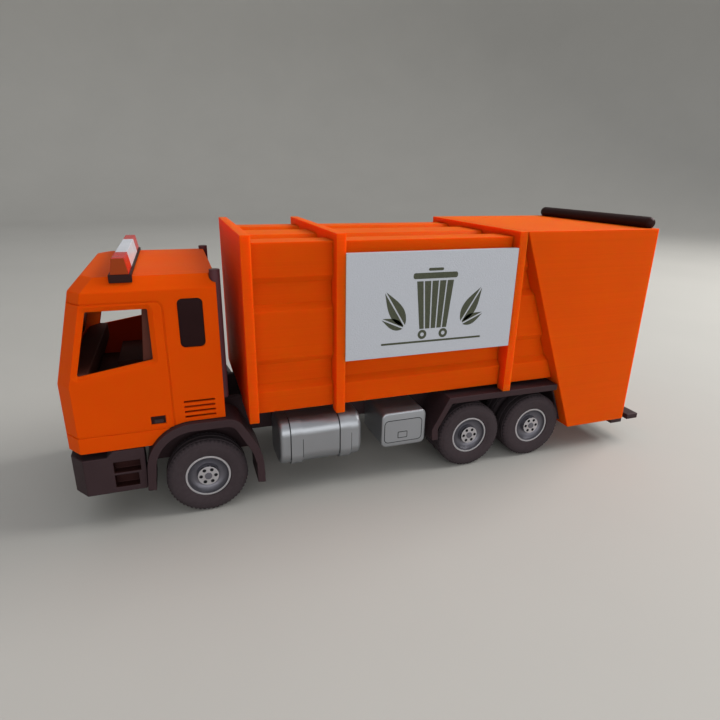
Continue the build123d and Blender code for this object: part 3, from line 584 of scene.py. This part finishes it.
for name in ("front_tyres", "first_rear_tyres", "second_rear_tyres"):
    low, high = box_mm(name)
    x, z, radius = (low[0] + high[0]) / 2, (low[2] + high[2]) / 2, (high[2] - low[2]) / 2
    outer_y = high[1] - TYRE_WIDTH / 2
    middles = [outer_y] if name == "front_tyres" else [outer_y, outer_y - TYRE_WIDTH - TWIN_GAP]
    places = [(x, side * y, z) for y in middles for side in (1, -1)]
    wear(tyre_pieces(name + "_treaded", places, radius), "tyre", slot_of[name], body_of[name], name)


# ---- Small parts on both sides: a rectangle is (low x, high x, low z, high z) ----
SIDES = {"left": 1, "right": -1}
PART_SHARP = 30


def inset(rectangle, *margins):
    """A rectangle made smaller, by one margin all round or by one on each side in its own order."""
    x0, x1, z0, z1 = rectangle
    rear, front, low, high = margins if len(margins) == 4 else margins * 4
    return x0 + rear, x1 - front, z0 + low, z1 - high


def rounded_loop(rectangle, radius, steps=6):
    """A rounded rectangle's outline as (x, z) points."""
    x0, x1, z0, z1 = inset(rectangle, radius)
    loop = []
    for quarter, (x, z) in enumerate(((x1, z0), (x1, z1), (x0, z1), (x0, z0))):
        for step in range(steps + 1):
            angle = math.pi / 2 * (quarter - 1 + step / steps)
            loop.append((x + radius * math.cos(angle), z + radius * math.sin(angle)))
    return loop


def circle_loop(x, z, radius, steps=40):
    """A circle's outline as (x, z) points."""
    angles = [2 * math.pi * i / steps for i in range(steps)]
    return [(x + radius * math.cos(angle), z + radius * math.sin(angle)) for angle in angles]


def add_loop(bm, loop, y):
    """The corners of an outline in a Y plane."""
    return [bm.verts.new((x * MM, y * MM, z * MM)) for x, z in loop]


def add_slab(bm, loop, y0, y1):
    """A flat piece with an outline, between two Y planes."""
    near, far = add_loop(bm, loop, y0), add_loop(bm, loop, y1)
    bm.faces.new(near)
    bm.faces.new(far)
    join_loops(bm, near, far)


def add_ring(bm, outer, inner, y0, y1):
    """A flat ring between two outlines of as many points, between two Y planes."""
    loops = [add_loop(bm, loop, y) for loop, y in ((outer, y0), (outer, y1), (inner, y1), (inner, y0))]
    for one, two in zip(loops, loops[1:] + loops[:1]):
        join_loops(bm, one, two)


def side_piece(name, bm, finish_name, slot, side_name, *nodes):
    """Turn a bmesh that is drawn for the left side into a piece on one side, riding on the truck."""
    if SIDES[side_name] < 0:
        bmesh.ops.scale(bm, vec=(1, -1, 1), verts=bm.verts)
    wear(drawn(bm, name + "_" + side_name, PART_SHARP), finish_name, slot, "truck", *nodes)


# ---- Door grips: the recess's back, black as painted shade in the recess, and the flap in it ----
GRIP = (94.2, 99.3, 39.1, 42.3)
GRIP_FLOOR = 35.2  # y of the recess's floor
BACK_MARGIN = 0.12
BACK_RISE = 0.12  # above the recess's floor
BACK_ROUND = 0.15
FLAP_MARGINS = (0.9, 1.2, 0.5, 1.4)
FLAP_RISE = 0.5
FLAP_ROUND = 0.25
FINE_STEPS = 3  # of a small corner
for side_name in SIDES:
    back, flap = bmesh.new(), bmesh.new()
    back_face = GRIP_FLOOR + BACK_RISE
    add_slab(back, rounded_loop(inset(GRIP, BACK_MARGIN), BACK_ROUND, FINE_STEPS), GRIP_FLOOR, back_face)
    side_piece("grip_back_painted_shade", back, "black", "dark_plastic", side_name)
    flap_loop = rounded_loop(inset(GRIP, *FLAP_MARGINS), FLAP_ROUND, FINE_STEPS)
    add_slab(flap, flap_loop, back_face, GRIP_FLOOR + FLAP_RISE)
    side_piece("grip_flap", flap, "dark", "dark_plastic", side_name)

# ---- Fuel tank's strap lines: a dark groove behind each strap, and painted shadow at each strap's front foot ----
TANK_ROUND = 6.0
TANK_STEPS = 12  # of each round
STRAP_DEPTH = 0.5
STRAP_WIDTH = 4.6
STRAP_FROM_END = 4.7
LINE_WIDTH = 0.34
LINE_HEIGHT = 0.05
SHORT_LINE = (16.6, 24.9)  # low and high z of the lines behind the straps
LONG_LINE_FOOT = 15.9


def tank_path(outer, low, high, foot, head):
    """Points and outward normals down the tank's outer side, as (y, z, ny, nz), between two heights."""
    path = []
    for start, middle_z in ((1, high - TANK_ROUND), (0, low + TANK_ROUND)):
        for step in range(TANK_STEPS + 1):
            angle = math.pi / 2 * (start - step / TANK_STEPS)
            ny, nz = math.cos(angle), math.sin(angle)
            path.append((outer - TANK_ROUND * (1 - ny), middle_z + TANK_ROUND * nz, ny, nz))
    path = [point for point in path if foot < point[1] < head]
    if head < high:
        path.insert(0, (outer, head, 1, 0))
    if foot > low + TANK_ROUND:
        path.append((outer, foot, 1, 0))
    return path


def add_tank_line(bm, path, x0, x1):
    """A thin ribbon over the tank along a path."""
    rows = []
    for y, z, ny, nz in path:
        row = []
        for x, lift in ((x0, -LINE_HEIGHT), (x1, -LINE_HEIGHT), (x1, LINE_HEIGHT), (x0, LINE_HEIGHT)):
            row.append(bm.verts.new((x * MM, (y + ny * lift) * MM, (z + nz * lift) * MM)))
        rows.append(row)
    bm.faces.new(rows[0])
    bm.faces.new(rows[-1])
    for one, two in zip(rows, rows[1:]):
        join_loops(bm, one, two)


for side_name in SIDES:
    low, high = box_mm("fuel_tank_left")
    outer = high[1] - STRAP_DEPTH
    foot, head = low[2] + STRAP_DEPTH, high[2] - STRAP_DEPTH
    bm = bmesh.new()
    for start in (low[0] + STRAP_FROM_END, high[0] - STRAP_FROM_END - STRAP_WIDTH):
        end = start + STRAP_WIDTH
        # The long line at the strap's front foot is painted shadow; the short one behind the strap is a dark
        # groove.
        add_tank_line(bm, tank_path(outer, foot, head, LONG_LINE_FOOT, head + 1), end, end + LINE_WIDTH)
        add_tank_line(bm, tank_path(outer, foot, head, *SHORT_LINE), start - LINE_WIDTH, start)
    side_piece("tank_grooves_and_painted_shadows", bm, "line", "dark_plastic", side_name)

# ---- Tool boxes, with a door and a latch ----
BOX_ROUND = 2.5  # of the box's long edges
BOX_STEPS = 8
FACE_ROUND = 0.8  # of the edges round its outer face
FACE_STEPS = 5
DOOR_MARGINS = (1.7, 1.15, 2.0, 3.4)
DOOR_ROUND = 2.0
DOOR_RISE = 0.06  # of the door's face over the box's
SEAM = 0.34  # width of the door's and the latch's seams
SEAM_RISE = 0.03
SUNK = 0.1  # how far the door and its seam reach into the box
LATCH_BEHIND = 10.6  # the latch's rear edge behind the door's front edge
LATCH_UP = 1.8  # its lower edge above the door's
LATCH_LENGTH, LATCH_HEIGHT = 4.45, 3.05
LATCH_ROUND = 0.3
LATCH_INNER_ROUND = 0.1
LATCH_SEAM_RISE = 0.09
LATCH_RISE = 0.14
for side_name in SIDES:
    low, high = box_mm("tool_box_left")
    face_y = high[1]
    outline = (low[0], high[0], low[2], high[2])
    levels = [(0.0, low[1])]
    for step in range(FACE_STEPS + 1):
        turn = math.pi / 2 * step / FACE_STEPS
        levels.append((FACE_ROUND * (1 - math.cos(turn)), face_y - FACE_ROUND * (1 - math.sin(turn))))
    bm = bmesh.new()
    loops = [
        add_loop(bm, rounded_loop(inset(outline, margin), BOX_ROUND - margin, BOX_STEPS), y)
        for margin, y in levels
    ]
    for one, two in zip(loops, loops[1:]):
        join_loops(bm, one, two)
    bm.faces.new(loops[0])
    bm.faces.new(loops[-1])
    side_piece("tool_box_body", bm, "silver", "silver_plastic", side_name, "tool_box_" + side_name)

for side_name in SIDES:
    low, high = box_mm("tool_box_left")
    face_y = high[1]
    seams, panels = bmesh.new(), bmesh.new()
    door = inset((low[0], high[0], low[2], high[2]), *DOOR_MARGINS)
    door_panel = rounded_loop(inset(door, SEAM), DOOR_ROUND - SEAM)
    add_ring(seams, rounded_loop(door, DOOR_ROUND), door_panel, face_y - SUNK, face_y + SEAM_RISE)
    add_slab(panels, door_panel, face_y - SUNK, face_y + DOOR_RISE)
    rear, foot = door[1] - LATCH_BEHIND, door[2] + LATCH_UP
    latch = (rear, rear + LATCH_LENGTH, foot, foot + LATCH_HEIGHT)
    latch_panel = rounded_loop(inset(latch, SEAM), LATCH_INNER_ROUND, FINE_STEPS)
    latch_edge = rounded_loop(latch, LATCH_ROUND, FINE_STEPS)
    add_ring(seams, latch_edge, latch_panel, face_y, face_y + LATCH_SEAM_RISE)
    add_slab(panels, latch_panel, face_y, face_y + LATCH_RISE)
    side_piece("tool_box_seams", seams, "line", "dark_plastic", side_name)
    side_piece("tool_box_door", panels, "silver", "silver_plastic", side_name)

# ---- Print on the side labels: a plain wheeled bin between two leaves over a ground line ----
# The labels are the truck's widest places, so their faces step back to leave room for the print.
PRINT_ROOM = 0.04
PRINT_SUNK = 0.1  # how far the print reaches into the label
PRINT_RISE = 0.6  # of the drawing's middle over the label's
BIN_HEAD, BIN_FOOT = 8.5, 10.5  # above and below the drawing's middle
BIN_TOP_HALF, BIN_FOOT_HALF = 8.2, 6.2
BIN_STRIPS = 5
STRIP_MARGIN = 0.28
LID = (9.5, 0.9, 3.2, 0.9)  # half length, low and high edge above the bin's head, corner radius
HANDLE = (3.2, 3.9, 5.0, 0.5)
GROUND = (22.0, -5.6, -4.8, 0.4)  # half length, low and high edge above the bin's foot, corner radius
WHEEL_APART, WHEEL_DROP = 4.6, 2.3  # from the drawing's middle, and below the bin's foot
WHEEL_RADIUS, WHEEL_HOLE = 1.9, 0.8
# Each pair of leaves: the stems' distance from the middle and below it, length, half width, lean.
LEAVES = ((12.5, 8.5, 15.5, 3.0, 0.55), (13.1, 9.5, 9.5, 2.0, 1.15))
LEAF_STEPS = 24
LEAF_MIDRIB = 0.30  # half width of the bare line down the middle
LEAF_STEM = 0.35  # half width of a leaf at its ends
LEAF_FULLNESS = 0.8  # below 1, a leaf is widest nearer its stem
LEAF_TAPER = 0.25


def leaf_loops(x, z, length, width, turn):
    """The two halves of a leaf either side of its midrib, from its stem end at (x, z)."""
    halves = []
    for hand in (1, -1):
        edge, midrib = [], []
        for share in (step / LEAF_STEPS for step in range(LEAF_STEPS + 1)):
            swell = math.sin(math.pi * share ** LEAF_FULLNESS) * (1 - LEAF_TAPER * share)
            edge.append((length * share, hand * (LEAF_STEM + width * swell)))
            midrib.insert(0, (length * share, hand * LEAF_MIDRIB))
        halves.append([
            (
                x + along * math.cos(turn) - across * math.sin(turn),
                z + along * math.sin(turn) + across * math.cos(turn),
            )
            for along, across in edge + midrib
        ])
    return halves


def bar(x, z, half, low, high, radius):
    """The outline of a level bar about x, between two heights over z."""
    return rounded_loop((x - half, x + half, z + low, z + high), radius)


def draw_print(bm, x, z, y):
    """Draw the bin, leaves and ground line round the middle (x, z) of the label."""
    planes = (y - PRINT_ROOM - PRINT_SUNK, y)
    foot, top = z - BIN_FOOT, z + BIN_HEAD
    for strip in range(BIN_STRIPS):
        left, right = 2 * strip / BIN_STRIPS - 1, 2 * (strip + 1) / BIN_STRIPS - 1
        add_slab(bm, [
            (x + left * BIN_FOOT_HALF + STRIP_MARGIN, foot), (x + right * BIN_FOOT_HALF - STRIP_MARGIN, foot),
            (x + right * BIN_TOP_HALF - STRIP_MARGIN, top), (x + left * BIN_TOP_HALF + STRIP_MARGIN, top),
        ], *planes)
    add_slab(bm, bar(x, top, *LID), *planes)
    add_slab(bm, bar(x, top, *HANDLE), *planes)
    for hand in (-1, 1):
        middle = (x + hand * WHEEL_APART, foot - WHEEL_DROP)
        add_ring(bm, circle_loop(*middle, WHEEL_RADIUS), circle_loop(*middle, WHEEL_HOLE), *planes)
    add_slab(bm, bar(x, foot, *GROUND), *planes)
    for hand in (-1, 1):
        for apart, drop, length, width, lean in LEAVES:
            for half in leaf_loops(x + hand * apart, z - drop, length, width, math.pi / 2 - hand * lean):
                add_slab(bm, half, *planes)


label_low, label_high = box_mm("label_plate_left")
for side_name in SIDES:
    for vert in bpy.data.objects["label_plate_" + side_name + "_soft"].data.vertices:
        if abs(vert.co.y) > (label_high[1] - PRINT_ROOM / 2) * MM:
            vert.co.y -= math.copysign(PRINT_ROOM * MM, vert.co.y)
for side_name in SIDES:
    middle_x, middle_z = (label_low[0] + label_high[0]) / 2, (label_low[2] + label_high[2]) / 2
    bm = bmesh.new()
    draw_print(bm, middle_x, middle_z + PRINT_RISE, label_high[1])
    side_piece("label_print", bm, "ink", "dark_plastic", side_name)

# ---- Stage, in metres ----
STAGE_FLAT = 1.3  # radius of the flat floor
STAGE_CURVE = 0.6
STAGE_HEIGHT = 1.6
STAGE_STEPS = 12
STAGE_AROUND = 96


def stage_bowl():
    """A pale floor that curves up far away on every side."""
    section = [(0.5, 0.0), (STAGE_FLAT, 0.0)]
    for step in range(1, STAGE_STEPS + 1):
        turn = math.pi / 2 * step / STAGE_STEPS
        section.append((STAGE_FLAT + STAGE_CURVE * math.sin(turn), STAGE_CURVE * (1 - math.cos(turn))))
    section.append((STAGE_FLAT + STAGE_CURVE, STAGE_HEIGHT))
    bm = bmesh.new()
    rings = []
    for r, z in section:
        rings.append([bm.verts.new((x, y, z)) for x, y in circle_loop(0, 0, r, STAGE_AROUND)])
    bm.faces.new(rings[0])
    for low, high in zip(rings, rings[1:]):
        join_loops(bm, low, high)
    bmesh.ops.recalc_face_normals(bm, faces=bm.faces)
    middle = max(bm.faces, key=lambda face: len(face.verts))
    if middle.normal.z < 0:
        bmesh.ops.reverse_faces(bm, faces=bm.faces)
    for face in bm.faces:
        face.smooth = face is not middle
    mesh = bpy.data.meshes.new("floor")
    bm.to_mesh(mesh)
    bm.free()
    mesh.materials.append(finish("floor_pale", FLOOR, 0.85, 0.02, 8.0, 0.02))
    return shown("floor", mesh)


stage_bowl()

# Soft lamps: (place, the point each looks at, length and height, watts, colour).
LAMPS = {
    "key_lamp": ((-0.85, 0.04, 0.75), (0, 0, 0.03), (0.7, 0.6), 11.8, (1.0, 0.985, 0.96)),
    "fill_lamp": ((0.0, 0.95, 0.26), (0, 0, 0.04), (1.5, 0.5), 5.7, (0.97, 0.985, 1.0)),
}
for name, (place, target, size, power, colour) in LAMPS.items():
    lamp = bpy.data.lights.new(name, "AREA")
    lamp.shape = "RECTANGLE"
    lamp.size, lamp.size_y = size
    lamp.energy = power
    lamp.color = colour
    panel = shown(name, lamp)
    panel.location = place
    panel.rotation_euler = (Vector(target) - Vector(place)).to_track_quat("-Z", "Y").to_euler()
    panel.visible_camera = False

SKY = (0.95, 0.97, 1.0, 1)
SKY_STRENGTH = 0.76
world = bpy.data.worlds.new("studio")
world.use_nodes = True
background = world.node_tree.nodes["Background"]
background.inputs["Color"].default_value = SKY
background.inputs["Strength"].default_value = SKY_STRENGTH
bpy.context.scene.world = world

# ---- Camera, as fitted to the photograph's perspective ----
CAMERA_PLACE = (85.745, 220.685, 124.973)
CAMERA_LENS = 26.404
CAMERA_SENSOR = 36.0
CAMERA_NEAREST = 0.01  # metres
CAMERA_TURN = Vector((0.338, -0.332, -0.04))  # rotation vector, after the camera first looks along -Y
# The camera's right, down and forward as rows.
looks = Matrix.Rotation(CAMERA_TURN.length, 3, CAMERA_TURN.normalized()) @ Matrix(
    ((-1, 0, 0), (0, 0, -1), (0, -1, 0))
)
camera_data = bpy.data.cameras.new("camera")
camera_data.lens = CAMERA_LENS
camera_data.sensor_width = CAMERA_SENSOR
camera_data.clip_start = CAMERA_NEAREST
camera = shown("camera", camera_data)
camera.matrix_world = Matrix.Translation(Vector(CAMERA_PLACE) * MM) @ Matrix(
    (looks[0], -looks[1], -looks[2])
).transposed().to_4x4()
bpy.context.scene.camera = camera

bpy.context.scene.view_settings.view_transform = "Standard"
